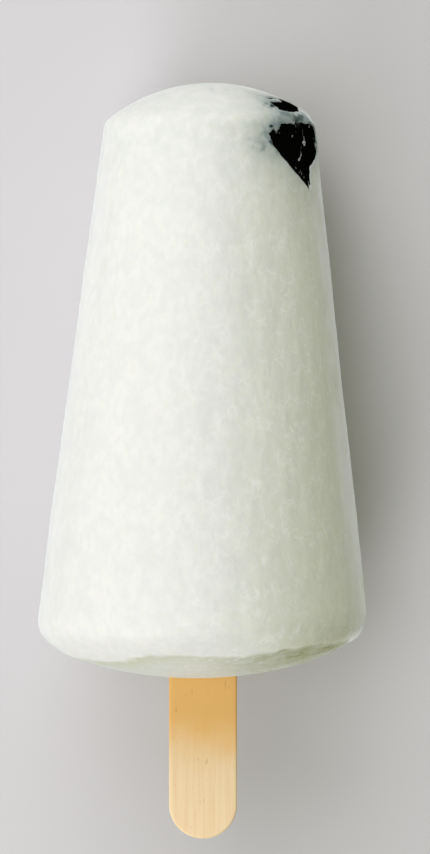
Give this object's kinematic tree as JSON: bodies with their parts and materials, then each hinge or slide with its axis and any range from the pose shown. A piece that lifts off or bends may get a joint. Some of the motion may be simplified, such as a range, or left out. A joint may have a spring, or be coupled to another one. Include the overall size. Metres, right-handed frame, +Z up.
{
  "type": "ice pop",
  "caption": "Soursop ice pop lying on its back: a tapered round body of frozen white pulp with a domed tip, black seeds in one shoulder of the tip, and a flat wooden stick.",
  "frame": {"origin": "on the surface the pop lies on, under the middle of its length, and on the small flat of the body", "axes": "+Y along the flat from the stick to the tip, +Z up out of the surface, +X to the side of the tip that holds the seeds"},
  "size_m": [0.0484, 0.1106, 0.0478],
  "materials": {
    "frozen_pulp": "milky frozen fruit pulp, slightly frosted and wet",
    "stick_wood": "plain unfinished birch",
    "seed_coat": "smooth hard black seed coat"
  },
  "bodies": {
    "root": {"ice_body": "frozen_pulp", "stick": "stick_wood", "seed_left": "seed_coat", "seed_right": "seed_coat", "seed_top": "seed_coat"}
  },
  "joints": []
}
